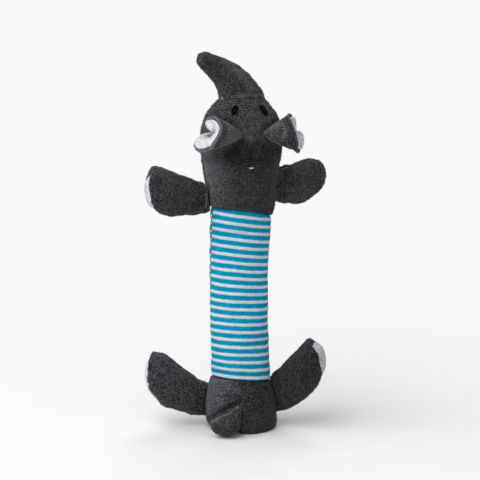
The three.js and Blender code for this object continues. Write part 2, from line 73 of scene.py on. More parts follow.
def set_coords(obj, co):
    obj.data.vertices.foreach_set("co", np.asarray(co, np.float32).ravel())
    obj.data.update()


def edges_of(obj):
    out = np.empty(len(obj.data.edges) * 2, np.int32)
    obj.data.edges.foreach_get("vertices", out)
    return out.reshape(-1, 2)


def faces_of(obj):
    return [list(p.vertices) for p in obj.data.polygons]


def verts_and_faces(obj):
    return [v.co.copy() for v in obj.data.vertices], faces_of(obj)


def new_mesh(name, verts, faces):
    mesh = bpy.data.meshes.new(name)
    mesh.from_pydata([tuple(v) for v in verts], [], [tuple(int(i) for i in f) for f in faces])
    mesh.update()
    return mesh


def add_object(name, data):
    obj = bpy.data.objects.new(name, data)
    scene.collection.objects.link(obj)
    return obj


def new_object(name, verts, faces):
    return add_object(name, new_mesh(name, verts, faces))


def joined(parts):
    """The vertices and faces of several parts in one list each."""
    verts, faces = [], []
    for more_verts, more_faces in parts:
        faces += [[len(verts) + i for i in f] for f in more_faces]
        verts += more_verts
    return verts, faces


def solids(names):
    """The vertices and faces of several CAD nodes."""
    return joined(verts_and_faces(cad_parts[node]) for node in names)


def mesh_tree(obj):
    return BVHTree.FromPolygons(*verts_and_faces(obj))


def distances(tree, co, limit):
    """Distance from each point to a surface, up to limit, in metres."""
    out = np.full(len(co), limit)
    for i, p in enumerate(co):
        hit = tree.find_nearest(Vector(p), limit)
        if hit[0] is not None:
            out[i] = hit[3]
    return out


def bake(obj):
    """Applies the object's modifiers to its mesh."""
    graph = bpy.context.evaluated_depsgraph_get()
    mesh = bpy.data.meshes.new_from_object(obj.evaluated_get(graph))
    obj.modifiers.clear()
    obj.data = mesh


def subdivide(obj):
    mod = obj.modifiers.new("subdivide", "SUBSURF")
    mod.levels = mod.render_levels = 1
    bake(obj)


def largest_shell(obj):
    """Keeps the outermost closed shell, which has the largest box."""
    edge = edges_of(obj)
    label = np.arange(len(obj.data.vertices))
    while True:
        low = np.minimum(label[edge[:, 0]], label[edge[:, 1]])
        new = label.copy()
        np.minimum.at(new, edge[:, 0], low)
        np.minimum.at(new, edge[:, 1], low)
        new = new[new]
        if (new == label).all():
            break
        label = new
    co = coords(obj)
    best = max(set(label.tolist()), key=lambda k: np.ptp(co[label == k], axis=0).sum())
    keep = label == best
    if keep.all():
        return
    index = np.cumsum(keep) - 1
    faces = [[index[i] for i in f] for f in faces_of(obj) if keep[f[0]]]
    obj.data = new_mesh(obj.name, co[keep], faces)


def smooth_object(obj, rounds):
    """Taubin smoothing: it rounds off edges and keeps the volume."""
    co, edge = coords(obj), edges_of(obj)
    degree = np.bincount(edge.ravel(), minlength=len(co))[:, None].clip(1)
    for _ in range(rounds):
        for step in (0.5, -0.53):
            total = np.zeros_like(co)
            np.add.at(total, edge[:, 0], co[edge[:, 1]])
            np.add.at(total, edge[:, 1], co[edge[:, 0]])
            co = co + step * (total / degree - co)
    set_coords(obj, co)


def skin(name, nodes, voxel, rounds):
    """One smooth closed skin round several CAD nodes, made at the size of the simulation."""
    verts, faces = solids(nodes)
    obj = new_object(name + "_plush", [v * SIM for v in verts], faces)
    mod = obj.modifiers.new("remesh", "REMESH")
    mod.mode = "VOXEL"
    mod.voxel_size = voxel * SIM
    bake(obj)
    largest_shell(obj)
    smooth_object(obj, rounds)
    return obj


def real_size(obj):
    obj.data.transform(Matrix.Scale(1 / SIM, 4))


def lumps(co, size, seed):
    """Smooth noise from -1 to 1 at each point, with features of about that size in metres."""
    shift = Vector((seed * 7.31, seed * 3.17, seed * 5.53))
    return np.array([noise.noise(Vector(p) / size + shift) for p in co])


def smoothstep(low, high, x):
    t = np.clip((x - low) / (high - low), 0, 1)
    return t * t * (3 - 2 * t)


def peak(x, centre, width):
    """1 where x is at the centre, falling to 0 on both sides over about twice the width."""
    return np.exp(-((x - centre) / width) ** 2)


def unit(rows):
    return rows / np.linalg.norm(rows, axis=1, keepdims=True).clip(1e-12)


def turns(count):
    """Angles evenly round a circle."""
    return [2 * math.pi * k / count for k in range(count)]


def direction(azimuth, elevation):
    """Azimuth 0 is the front, -y, and it grows towards +x."""
    return np.array([math.sin(azimuth) * math.cos(elevation), -math.cos(azimuth) * math.cos(elevation),
                     math.sin(elevation)])


def bump_at(co, centre, radius):
    """1 at the centre, falling to 0 about one radius away."""
    d = (co - centre) / radius
    return np.exp(-(d * d).sum(1) * 2)


def set_attribute(obj, name, values):
    kind, key = ("FLOAT", "value") if np.ndim(values) == 1 else ("FLOAT_VECTOR", "vector")
    attribute = obj.data.attributes.get(name) or obj.data.attributes.new(name, kind, "POINT")
    attribute.data.foreach_set(key, np.asarray(values, np.float32).ravel())


# ------ cloth simulation
CLOTH_FRAMES = 20


def add_cloth(obj, pins):
    """Lets pressure from inside fill out the cloth. A pin of 1 holds a point where it is."""
    group = obj.vertex_groups.new(name="pins")
    for index in np.nonzero(pins > 0.01)[0]:
        group.add([int(index)], float(pins[index]), "REPLACE")
    cloth = obj.modifiers.new("cloth", "CLOTH")
    settings = cloth.settings
    settings.quality = 5
    settings.mass = 0.3
    settings.use_pressure = True
    settings.uniform_pressure_force = 4.0
    settings.vertex_group_mass = "pins"
    settings.shrink_min = -0.035        # below 0, the cloth grows
    settings.bending_stiffness = 0.3
    settings.effector_weights.gravity = 0
    cloth.collision_settings.use_collision = False
    cloth.point_cache.frame_start = 1
    cloth.point_cache.frame_end = CLOTH_FRAMES


def run_cloth(limits):
    """Steps every cloth together, then keeps each point within its limit of where it began."""
    for step in range(1, CLOTH_FRAMES + 1):
        scene.frame_set(step)
    graph = bpy.context.evaluated_depsgraph_get()
    results = {}
    for obj, limit in limits.items():
        start = coords(obj)
        moved = coords(obj.evaluated_get(graph)) - start
        length = np.linalg.norm(moved, axis=1, keepdims=True).clip(1e-9)
        results[obj] = start + moved * np.minimum(1, limit / length)
    for obj, co in results.items():
        obj.modifiers.clear()
        obj.vertex_groups.clear()
        set_coords(obj, co)
    scene.frame_set(1)


# ------ places, in millimetres
# Each sewn-on form has its own frame: x runs out from the body, or inwards on the left side, its seams
# lie at y = 0, and z runs up. The table gives its origin, x, z and the side, which turns x outwards.
GROUPS = {
    "left_arm": ((-22.946, 0, 156), (0.9843, -0.0698, 0.1621), (-0.1625, 0, 0.9867), -1),
    "right_arm": ((24.041, 0, 163), (0.8798, 0.4540, -0.1409), (0.1581, 0, 0.9874), 1),
    "left_foot": ((-22.172, 8.070, 21), (0.9339, -0.3399, -0.1104), (0.1038, -0.0378, 0.9939), -1),
    "right_foot": ((21.910, -7.975, 22.5), (0.8399, -0.5270, 0.1296), (-0.1245, 0.0453, 0.9912), 1),
    "left_ear": ((-7.5, -21.712, 199.2), (0.9781, 0.1392, -0.1549), (0.1564, 0, 0.9877), -1),
    "right_ear": ((7.5, -21.712, 199.2), (0.9879, -0.1392, 0.0691), (-0.0698, 0, 0.9976), 1),
    "tail": ((-6.943, -19.076, 22.2), (0.9397, -0.3420, 0), (0, 0, 1), -1),
}
VIEW_AZIMUTH = math.radians(-20)
ELEVATION = math.radians(12.4)
VIEW_RIGHT = np.array([math.cos(VIEW_AZIMUTH), math.sin(VIEW_AZIMUTH), 0])
TOWARD = direction(VIEW_AZIMUTH, ELEVATION)
VIEW_UP = np.cross(TOWARD, VIEW_RIGHT)
VIEW_FRONT = direction(VIEW_AZIMUTH, 0)
CAMERA_DISTANCE, PICTURE_WIDTH, PICTURE_PIXELS = 1.2, 0.3125, 480
PIXEL_ANGLE = PICTURE_WIDTH / CAMERA_DISTANCE / PICTURE_PIXELS
PICTURE_CENTRE = np.array([0, 0, 0.1266]) - VIEW_RIGHT * 0.00065
CAMERA_PLACE = PICTURE_CENTRE + TOWARD * CAMERA_DISTANCE
HEAD_BASE, RUMP_TOP = 146, 35
RUMP_TURN = math.radians(-20)


def axes_of(group):
    """The origin of a group's frame, and its axes as columns, with x outwards."""
    origin, x, z, side = GROUPS[group]
    x, z = np.array(x), np.array(z)
    return np.array(origin), np.stack([x * side, np.cross(z, x), z], 1)


def local(co, group):
    """Points in metres, in the millimetres of a group's frame."""
    origin, axes = axes_of(group)
    return (co / MM - origin) @ axes


def from_local(points, group):
    """The reverse of local()."""
    origin, axes = axes_of(group)
    return (np.asarray(points, float) @ axes.T + origin) * MM


def seam_offset(name, co):
    """Distance in millimetres to the plane of the side seams."""
    if name in GROUPS:
        return local(co, name)[:, 1]
    mm = co / MM
    if name == "rump":
        back = mm[:, 0] * -math.sin(RUMP_TURN) + mm[:, 1] * math.cos(RUMP_TURN)
        return back - 8 * (1 - smoothstep(2, 14, mm[:, 2]))
    if name == "sleeve":
        turn = RUMP_TURN * (1 - np.clip((mm[:, 2] - RUMP_TOP) / (HEAD_BASE - RUMP_TOP), 0, 1))
        return mm[:, 1] * np.cos(turn) - mm[:, 0] * np.sin(turn)
    return mm[:, 1]


# ------ stuffed forms
# How far the stuffing may push each form's cloth out, in millimetres
PUSHED_OUT = {"head": 1.4, "trunk": 0.9, "sleeve": 1.0, "rump": 1.2, "tail": 0.6,
              "left_arm": 1.1, "right_arm": 1.1, "left_foot": 1.1, "right_foot": 1.1}
FORMS = {name: [f"{name}_{part}" for part in ("front_panel", "back_panel", "stuffing")]
         for name in PUSHED_OUT}
FORMS["sleeve"] = ["sleeve_front_panel", "sleeve_back_panel", "body_stuffing_front", "body_stuffing_back"]
SEWN_ON = {"trunk": "head", "tail": "rump", "left_arm": "head", "right_arm": "head",
           "left_foot": "rump", "right_foot": "rump"}
TOUCHING = {"head": ["sleeve", "trunk", "left_arm", "right_arm"], "sleeve": ["head", "rump"],
            "rump": ["sleeve", "left_foot", "right_foot", "tail"]}


def held(name, co):
    """The pins of a form's cloth: at its roots, along its seams and where the rump stands on the floor."""
    near = [node for other in TOUCHING.get(name) or [SEWN_ON[name]] for node in FORMS[other]]
    if name == "head":
        near += ["left_ear_outer", "right_ear_outer"]
    tree = BVHTree.FromPolygons(*solids(near))
    root = 1 - smoothstep(0.0012, 0.0035, distances(tree, co, 0.004))
    pins = np.maximum(root, 0.6 * peak(seam_offset(name, co), 0, 1.2))
    if name == "rump":
        pins = np.maximum(pins, 1 - smoothstep(0.0005, 0.004, co[:, 2]))
    return pins


made = {}
limits = {}
for name, nodes in FORMS.items():
    obj = made[name] = skin(name, nodes, 0.0015, 10)
    add_cloth(obj, held(name, coords(obj) / SIM))
    limits[obj] = PUSHED_OUT[name] * MM * SIM
if limits:
    run_cloth(limits)
for obj in made.values():
    real_size(obj)
    smooth_object(obj, 2)
    subdivide(obj)
    co = coords(obj)
    co[:, 2] = co[:, 2].clip(ABOVE_FLOOR)
    set_coords(obj, co)


# ------ dents, seams and folds
def along(obj, distance):
    """Moves each point along its normal by a distance in millimetres."""
    set_coords(obj, coords(obj) + normals(obj) * np.asarray(distance)[:, None] * MM)


def sew(obj, name, depth):
    """A groove along the side seams, with rolled edges and the small puckers that the thread pulls."""
    co = coords(obj)
    off = seam_offset(name, co)
    pucker = lumps(co, 0.0034, 3)
    groove = peak(off, 0, 0.85)
    roll = peak(np.abs(off), 2.1, 1.2)
    wide = peak(off, 0, 5)
    along(obj, -depth * (1 + 0.35 * pucker) * groove + (0.22 + 0.25 * pucker) * roll - 0.28 * wide * pucker)
    return groove


def at_pixel(tree, x, y):
    """The point of a surface that the camera sees at a pixel, or else the nearest to it, in millimetres."""
    middle = PICTURE_PIXELS / 2
    ray = -TOWARD + VIEW_RIGHT * (x - middle) * PIXEL_ANGLE + VIEW_UP * (middle - y) * PIXEL_ANGLE
    place, normal, _, _ = tree.ray_cast(Vector(CAMERA_PLACE), Vector(ray).normalized())
    if place is None:
        along_ray = [tree.find_nearest(Vector(CAMERA_PLACE + ray * t)) for t in np.linspace(1.1, 1.3, 41)]
        place, normal, _, _ = min(along_ray, key=lambda hit: hit[3])
    return np.array(place) / MM, np.array(normal)


def press(obj, pixels, radius, depth):
    """A hollow along a line of pixels, or a ridge where the depth is negative."""
    tree = mesh_tree(obj)
    line = np.array([at_pixel(tree, x, y)[0] for x, y in pixels])
    steps = [line[0]]
    for a, b in zip(line[:-1], line[1:]):
        count = max(1, int(np.linalg.norm(b - a) / (0.4 * radius)))
        steps += [a + (b - a) * i / count for i in range(1, count + 1)]
    co = coords(obj) / MM
    share = np.zeros(len(co))
    for centre in steps:
        share = np.maximum(share, bump_at(co, centre, radius))
    along(obj, -depth * share)
    return share


def close_root(obj, tree, reach):
    """Draws the sewn edge of a form half a millimetre into the surface that carries it."""
    co = coords(obj)
    for i, p in enumerate(co):
        hit = tree.find_nearest(Vector(p), reach * MM)
        if hit[0] is None:
            continue
        share = 1 - smoothstep(0.6 * reach, reach, hit[3] / MM)
        co[i] = p + share * (np.array(hit[0]) - np.array(hit[1]) * 0.5 * MM - p)
    set_coords(obj, co)


grooves = {name: sew(obj, name, 0.45 if name == "sleeve" else 0.9) for name, obj in made.items()}
carriers = {name: mesh_tree(made[name]) for name in ("head", "rump")}
# The trunk's root is lowered on to the head, more so at the left, and its tip slopes
trunk = made["trunk"]
co = coords(trunk)
near_head = 1 - smoothstep(0.0005, 0.006, distances(carriers["head"], co, 0.008))
co[:, 2] -= (0.0016 + 0.0022 * smoothstep(0.002, 0.012, -co @ VIEW_RIGHT)) * near_head
set_coords(trunk, co)
upper_side = (normals(trunk) @ (0.6 * VIEW_RIGHT + 0.8 * VIEW_UP)).clip(0, 1)
along(trunk, -1.5 * upper_side * smoothstep(0.222, 0.23, co[:, 2]))

TAIL_PRESS = 1.3    # how far the tail is pressed to the rump
tail = made["tail"]
toward_rump = -coords(tail).mean(0) * (1, 1, 0)
set_coords(tail, coords(tail) + TAIL_PRESS * MM * toward_rump / np.linalg.norm(toward_rump))
close_root(tail, carriers["rump"], 3.0)

# Each limb: how far its root is drawn in; how its sole leans, in degrees; how far its cover's lip rolls
# out, in front and behind; how far its end's corners are rounded off, above and below; how far the end's
# top is cut down and its lower corner lifted; how far it is drawn out, and how much further for each
# millimetre up; its sag, as distances out from the body and the rise there above and below; how far its
# sole is sunk, domed and lowered, and the share of its height that the sole keeps
LIMB = {
    "left_arm": dict(drawn_in=2, lean=-5, lip=(3.4, 0.8), rounded=(4, 4.6), cut=0, lift=0,
                     stretch=(0.9, 0), sag=((0, 8, 30), (0, 0, 0), (-0.5, -0.5, 0)),
                     sole=(2.6, 1.6, 1, 0.93)),
    "right_arm": dict(drawn_in=2, lean=-22, lip=(0.8, 0.8), rounded=(1, 5.4), cut=0, lift=4.6,
                      stretch=(1.9, 0),
                      sag=((0, 8, 14, 24, 38), (0, 0, -1, -1.3, -1), (-2, -2, -1.2, 0, 0.4)),
                      sole=(0.8, 0.6, 0, 0.93)),
    "left_foot": dict(drawn_in=3.8, lean=-3, lip=(3.2, 0.8), rounded=(-0.4, 3.1), cut=1.1, lift=0,
                      stretch=(0.6, 0.09),
                      sag=((0, 7, 13, 20, 28), (-2.7, -3.1, -2.7, -1.6, -0.3), (-3.4, -3.4, -2.1, -0.8, 0)),
                      sole=(2.4, 1.9, 2.8, 0.93)),
    "right_foot": dict(drawn_in=3.8, lean=-4, lip=(3.8, 0.8), rounded=(1.8, 0.6), cut=2.6, lift=0,
                       stretch=(0.6, -0.12),
                       sag=((0, 10, 25, 36), (1.7, 2.2, 1.6, 0), (-2.9, -2.6, -1.3, -0.6)),
                       sole=(1.6, 2.3, -0.8, 0.87)),
}
COVER_SUNK = 2.2    # how far a limb's cover lies back under its sole
SOLE_WIDTH = 0.93   # the share of its width that a sole keeps
LIMB_END = {}       # of each limb as it is sewn: how far out it ends, and the middle and half height there


def outward(p, name):
    """How far out each point of a limb lies, square to its sole."""
    return p[:, 0] - math.tan(math.radians(LIMB[name]["lean"])) * p[:, 1]


def draw_in(name):
    """Moves the root of a limb in along its own x, into the body that it is sewn to."""
    obj = made[name]
    p = local(coords(obj), name)
    p[:, 0] -= LIMB[name]["drawn_in"] * (1 - smoothstep(0.5, 6.0, p[:, 0]))
    set_coords(obj, from_local(p, name))


def roll_lip(name):
    """Rolls the end of a limb's cover out round its sole."""
    obj = made[name]
    front, back = LIMB[name]["lip"]
    p = local(coords(obj), name)
    end = outward(p, name)
    last = np.percentile(end, 99.5)
    middle = p[end > last - 3].mean(0)
    half = np.abs(p[end > last - 4] - middle).max(0)
    _, across, up = ((p - middle) / half).T
    radius = np.hypot(across, up)
    near = smoothstep(last - 7, last - 0.5, end) * smoothstep(0.72, 0.95, radius)
    share = smoothstep(-0.6, 0.6, across)
    p[:, 0] += near * (front * (1 - share) + back * share)
    sunk = COVER_SUNK * smoothstep(last - 5, last - 1.5, end)
    p[:, 0] -= sunk * (1 - smoothstep(0.55, 0.8, radius))
    set_coords(obj, from_local(p, name))


def shape_end(name, co):
    """Rounds off the corners of a limb, or of its sole, draws it out and lets it sag."""
    p = local(co, name)
    out, _, up = p.T            # views, so that moving them moves the points
    end = outward(p, name)
    if name not in LIMB_END:
        last = np.percentile(end, 99.5)
        rim = up[end > last - 4]
        LIMB_END[name] = (last, (rim.max() + rim.min()) / 2, np.ptp(rim) / 2)
    last, middle, half = LIMB_END[name]
    high = (up - middle) / half
    limb = LIMB[name]
    (above, below), (stretch, shear), (outs, top, bottom) = limb["rounded"], limb["stretch"], limb["sag"]
    near = smoothstep(last - 12, last, end)
    out += near * (stretch + shear * (up - middle))
    out -= near * (above * smoothstep(0.35, 1.05, high) + below * smoothstep(0.35, 1.05, -high))
    up += limb["lift"] * smoothstep(last - 22, last - 4, end) * smoothstep(0.0, 1.0, -high)
    up -= limb["cut"] * smoothstep(last - 9, last + 1, end) * smoothstep(0.45, 1.0, high)
    upper = smoothstep(-0.7, 0.7, (up - middle * (end / last).clip(0, 1)) / half)
    up += upper * np.interp(end, outs, top) + (1 - upper) * np.interp(end, outs, bottom)
    return from_local(p, name)


for name in LIMB:
    draw_in(name)
    roll_lip(name)
    set_coords(made[name], shape_end(name, coords(made[name])))

# Folds along lines that the camera sees. Each has its radius and its depth, in millimetres, how much painted
# shade lies in it, or how much painted highlight where that is below 0, and then the line's x, y, x, y ...
# in the picture. A depth of 0 only paints.
FOLDS = {
    "head": [
        # the muzzle stands out a little over the chest
        (6, -0.4, 0, 247, 121, 251, 121),
        (8, 1, 0, 240, 148, 262, 148),
        # painted shade in the smile, the dart, under and behind the ears and in the groove at the left arm's
        # root, and painted highlights where the mark is below 0
        (0.8, 0.15, 0.15, 244.5, 117.6, 247, 119.4, 250, 119.8, 253, 118.6),
        (7.5, 0.3, 1, 228, 155, 236, 149, 243, 144, 250, 150, 258, 144, 264, 147),
        (5, 0, 0.45, 208, 159, 218, 158, 227, 153, 238, 160, 252, 160),
        (0.8, -0.2, -0.22, 250.6, 138, 250.4, 143, 250.7, 148),
        (2.3, 0.2, 0.5, 211, 113, 220, 115.5, 229, 120, 236, 126, 242, 133.5),
        (2, 0.2, 0.4, 261, 131.5, 267, 126.5, 274, 121),
        (3, 0, 0.35, 266, 145, 275, 150, 279, 153),
        (1, 0.45, 0.35, 250.6, 140, 250.4, 144, 250.8, 149),
        (1.8, 0.35, 0.25, 241, 137, 246, 141, 250.5, 143, 255, 140.5, 261, 135),
        (4, 0, -0.3, 266, 107, 269, 114, 270.5, 122),
        (2.6, 0, -0.3, 278.5, 166, 277.5, 180, 276, 195, 274.5, 204),
        (5, 0, -0.22, 206, 168, 208, 178, 210, 190),
        (6, 0, 0.75, 217, 156, 224, 157, 232, 161, 244, 161, 256, 161, 268, 160),
        (5, 0, 0.8, 258, 147, 266, 149, 272, 153),
        (1, 0.4, 0.8, 209, 186, 209.3, 193, 209.3, 200, 209.5, 207),
    ],
    "trunk": [
        (1.3, 0.8, 0.9, 202.5, 67, 205.5, 68.5),
        (2.5, 0.5, 0, 214, 77, 220, 90),
        (5, 0, 0.4, 212, 64, 217, 71, 221, 78),
        (4.5, 0, -0.36, 238, 71, 245, 79, 251, 88, 257, 95),
        (2.5, 0, -0.3, 238, 95.5, 246, 95, 256, 95),
    ],
    "left_arm": [
        (3.2, 1.5, 0.35, 157, 178, 160, 185),
        (2.2, 1.1, 0.8, 197, 206, 202, 203),
        (3, 0.6, 0, 170, 177, 184, 182),
        (2.2, -0.3, -0.16, 152, 176, 157, 172, 165, 176, 172, 184),
        (0.8, -0.5, -0.75, 206.4, 186, 206.6, 193, 206.4, 200, 206, 207),
    ],
    "right_arm": [
        (2.4, 0.8, 0.2, 319, 167, 321, 172),
        (1.6, -0.5, 0, 313, 166, 322, 179),
        (2.5, 0.7, 0.3, 284, 172, 283, 196),
        (0.9, 0.4, 0.5, 284, 167, 293, 165, 303, 162.5, 312, 161.5),
        (0.8, -0.2, -0.5, 284, 165.5, 293, 163.5, 303, 161, 312, 160),
    ],
    "left_foot": [
        (2.2, 0.7, 0.2, 196, 384, 197, 404),
        (5, 0.5, 0, 163, 371, 178, 388),
        (1, 0.4, 0.6, 160, 358, 172, 362, 184, 369, 196, 377, 203, 381),
        (0.8, -0.2, -0.3, 160, 356, 172, 360, 184, 366.5, 196, 374.5),
    ],
    "right_foot": [
        (2.5, 0.6, 0.2, 287, 376, 288, 398),
        (4, 0.5, 0, 303, 352, 297, 366),
        (1.2, -0.3, -0.2, 318, 345, 322, 358, 323, 370),
    ],
    "rump": [
        (1.3, 0.8, 0.8, 239.5, 404, 239.5, 430),
        (2.2, 0.6, 0.3, 226, 398, 236, 400),
        (2.4, 0.7, 1, 240, 402, 231, 406.5, 223, 411, 214, 415.5, 208, 420),
    ],
    "tail": [
        (1.1, -0.6, -0.8, 238, 409, 231, 413, 224, 417, 216, 420.5, 212, 423),
    ],
}
fold_shade, fold_highlights = {}, {}
# painted shade, and painted highlights where the mark is below 0, gathered for each form
for name, folds in FOLDS.items():
    for radius, depth, mark, *line in folds:
        share = press(made[name], zip(line[::2], line[1::2]), radius, depth)
        marks = fold_highlights if mark < 0 else fold_shade
        marks[name] = np.maximum(marks.get(name, 0), share * abs(mark))


# ------ ears and soles
# How far an ear reaches, where its cloth is folded over, above and below, in degrees round its cone, how
# strong the painted highlight on the folds is, how high its ridge, how strong the painted highlight patch on
# its cone (glow) is, and how far its lining shows at the rim
EARS = {
    "left": dict(length=22, folds=(86, -65), highlight_on_folds=0.75, ridge=0.3, glow=0, lining=0.9),
    "right": dict(length=20.5, folds=(106, -80), highlight_on_folds=1.0, ridge=0.9, glow=0.28, lining=2.0),
}


def thin_piece(name, voxel, rounds):
    obj = made[name] = skin(name, [name], voxel, rounds)
    real_size(obj)
    return obj


def ear_angle(p):
    return np.arctan2(p[:, 2], -p[:, 1])


def inside_rim(p, length):
    """How far each point lies inside the rim of an ear, with the notch at the back."""
    angle = ear_angle(p)
    back = (1 - np.abs(math.pi - np.mod(angle, 2 * math.pi)) / math.radians(32)).clip(0, None)
    return length - 3.5 * np.sin(angle) + 2.75 * (1 - np.cos(angle)) - 9.4 * back ** 1.5 - p[:, 0]


def stitch_ear(obj, group, ear):
    """The stitched lines, the folds and the ridge of an ear's outer cloth, with painted shade in the
    stitched lines and painted highlights on the rim, the folds, the ridge and a patch of the cone.
    """
    co = coords(obj)
    p = local(co, group)
    edge, angle = inside_rim(p, ear["length"]), ear_angle(p)
    across = np.hypot(p[:, 1], p[:, 2])
    outside = (normals(obj) * (co - from_local([(8, 0, 0)], group))).sum(1) > 0
    rim = peak(edge, 0.3, 0.7)
    line = peak(edge, 1.9, 0.75) + 0.9 * peak(edge, 4.2, 0.7)
    stitch = 0.85 + 0.15 * np.sin(angle * 26)
    folded = sum(peak(across * (angle - math.radians(a)), 0, 0.75) for a in ear["folds"])
    folded *= smoothstep(1, 4, p[:, 0]) * smoothstep(0.5, 2, edge)
    ridge = np.exp(-((p[:, 0] - 13 - 2.5 * angle) / 1.3) ** 2 - ((angle - 0.1) / 0.7) ** 2) * ear["ridge"]
    along(obj, (0.3 * rim - 0.4 * line * stitch + 0.25 * folded + 0.6 * ridge) * outside)
    # painted shade in the stitched lines
    set_attribute(obj, "crease_shade", (line * stitch * outside * (1 - folded)).clip(0, 1))
    # painted highlights on the rim, the folds, the ridge and, with glow, a patch of the cone
    light = 0.3 * rim + ear["highlight_on_folds"] * folded + 0.42 * ridge
    light += ear["glow"] * peak(angle, 1.15, 0.35) * smoothstep(2, 6, p[:, 0]) * smoothstep(3, 7, edge)
    set_attribute(obj, "tip", (light * outside).clip(0, 1))


def plump_lining(obj, group, ear):
    """Fills out the lining of an ear inside its rim, most at the back."""
    co = coords(obj)
    p = local(co, group)
    edge = inside_rim(p, ear["length"])
    p[:, 0] += ear["lining"] * peak(edge, 0, 3)
    inward = -(local(co + normals(obj) * MM, group) - local(co, group))
    reach = np.hypot(p[:, 1], p[:, 2]).clip(0.5, None)
    facing = ((inward[:, 1] * p[:, 1] + inward[:, 2] * p[:, 2]) / reach).clip(0, 1)
    behind = smoothstep(0, 0.9, -np.cos(ear_angle(p)))
    plump = (3.2 + 2.6 * behind) * smoothstep(0.1, 0.8, facing) * peak(edge, 3.2, 4.5)
    p[:, 1:] *= ((reach - np.minimum(plump, 0.86 * reach)) / reach)[:, None]
    set_coords(obj, from_local(p, group))
    smooth_object(obj, 3)


def shape_ear(obj, group):
    """Rounds the corners of an ear's rim, curls the rim and lets the cone sag, in its own frame."""
    p = local(coords(obj), group)
    out, side, up = p.T         # views, so that moving them moves the points
    across = np.hypot(side, up)
    angle = ear_angle(p)
    share = np.clip(out / 22, 0, 1.4)
    within = share.clip(0, 1)
    swell = 0.5 * np.sin(math.pi * within) - 1.1 * share ** 3 * (np.cos(2 * angle) < -0.2)
    wave = 0.45 * share ** 2 * np.sin(3 * angle + 0.7) + 0.3 * share ** 2 * np.sin(5 * angle)
    p[:, 1:] *= (1 + (wave + 0.5 * swell) / across.clip(2, None))[:, None]

    def sector(degrees, width):
        off = np.abs(np.mod(angle - math.radians(degrees) + math.pi, 2 * math.pi) - math.pi)
        return peak(off, 0, math.radians(width))

    if group == "right_ear":
        cut = 2.4 * sector(-76, 42) - 0.5 * sector(-125, 30) + 1.5 * sector(90, 25)
        out -= share ** 3 * cut + 0.1 * out.clip(0, None)
        up *= 1 + share * np.where(up > 0, 0.14, 0.25)
        up -= 0.3 * np.sin(math.pi * within)
        up *= 1 - 0.13 * within ** 3 * sector(-84, 24)
    else:
        out -= share ** 2 * (2.2 * sector(180, 26) + 1.8 * sector(128, 24) - 1.0 * sector(10, 55))
        side -= 0.1 * out.clip(0, None)
    set_coords(obj, from_local(p, group))


for side, ear in EARS.items():
    for part, finish in (("outer", stitch_ear), ("lining", plump_lining)):
        obj = thin_piece(f"{side}_ear_{part}", 0.00055, 8)
        finish(obj, side + "_ear", ear)
        shape_ear(obj, side + "_ear")

for limb, shape in LIMB.items():
    sunk, dome, lowered, height = shape["sole"]
    obj = thin_piece(limb + "_sole", 0.0007, 5)
    p = local(shape_end(limb, coords(obj)), limb)
    middle = (p.max(0) + p.min(0)) / 2
    half = np.ptp(p, axis=0) / 2
    _, across, up = ((p - middle) / half).T
    centred = 1 - across ** 2 - up ** 2
    p[:, 0] += dome * centred.clip(0, 1) - sunk
    p[:, 1:] = middle[1:] + (p[:, 1:] - middle[1:]) * (SOLE_WIDTH, height)
    p[:, 2] -= lowered
    set_coords(obj, from_local(p, limb))


# ------ materials
class Nodes:
    """A node tree. A value in it is a number, a colour or another node's output."""
    def __init__(self, tree):
        self.tree = tree

    def put(self, socket, value):
        if isinstance(value, bpy.types.NodeSocket):
            self.tree.links.new(value, socket)
        else:
            socket.default_value = value

    def fill(self, node, **values):
        """Puts values into a node's inputs, by their names."""
        for key, value in values.items():
            self.put(node.inputs[key.replace("_", " ").title().replace("Ior", "IOR")], value)
        return node

    def new(self, kind, *values, **settings):
        """A new node with its settings, and with values in its first inputs."""
        node = self.tree.nodes.new("ShaderNode" + kind)
        for key, value in settings.items():
            setattr(node, key, value)
        for socket, value in zip(node.inputs, values):
            self.put(socket, value)
        return node

    def math(self, operation, *values, clamp=False):
        return self.new("Math", *values, operation=operation, use_clamp=clamp).outputs[0]

    def plus(self, a, b, clamp=False):
        return self.math("ADD", a, b, clamp=clamp)

    def minus(self, a, b, clamp=False):
        return self.math("SUBTRACT", a, b, clamp=clamp)

    def times(self, a, b, clamp=False):
        return self.math("MULTIPLY", a, b, clamp=clamp)

    def part_of(self, value, pitch):
        """How far a value lies through its pitch, from 0 to 1."""
        return self.math("FRACT", self.math("DIVIDE", value, pitch))

    def attribute(self, name, output="Fac"):
        return self.new("Attribute", attribute_name=name).outputs[output]

    def noise(self, vector, size, detail=2.0, roughness=0.5, distortion=0.0):
        """Noise with features of about that size in metres."""
        return self.fill(self.new("TexNoise"), vector=vector, scale=1 / size, detail=detail,
                         roughness=roughness, distortion=distortion).outputs[0]

    def ramp(self, value, low, high):
        return self.new("MapRange", value, low, high, interpolation_type="SMOOTHSTEP").outputs[0]

    def mix(self, factor, a, b, blend="MIX"):
        node = self.new("Mix", factor, data_type="RGBA", blend_type=blend)
        self.put(node.inputs[6], a)
        self.put(node.inputs[7], b)
        return node.outputs[2]

    def bump(self, height, distance, strength=1.0, **normal):
        node = self.fill(self.new("Bump"), height=height, distance=distance, strength=strength, **normal)
        return node.outputs[0]

    def seen(self):
        """1 for what a picture shows, also mirrored or through plastic, and 0 for the light that falls."""
        rays = self.new("LightPath").outputs
        seen = self.plus(rays["Is Camera Ray"], rays["Is Glossy Ray"])
        return self.plus(seen, rays["Is Transmission Ray"], clamp=True)


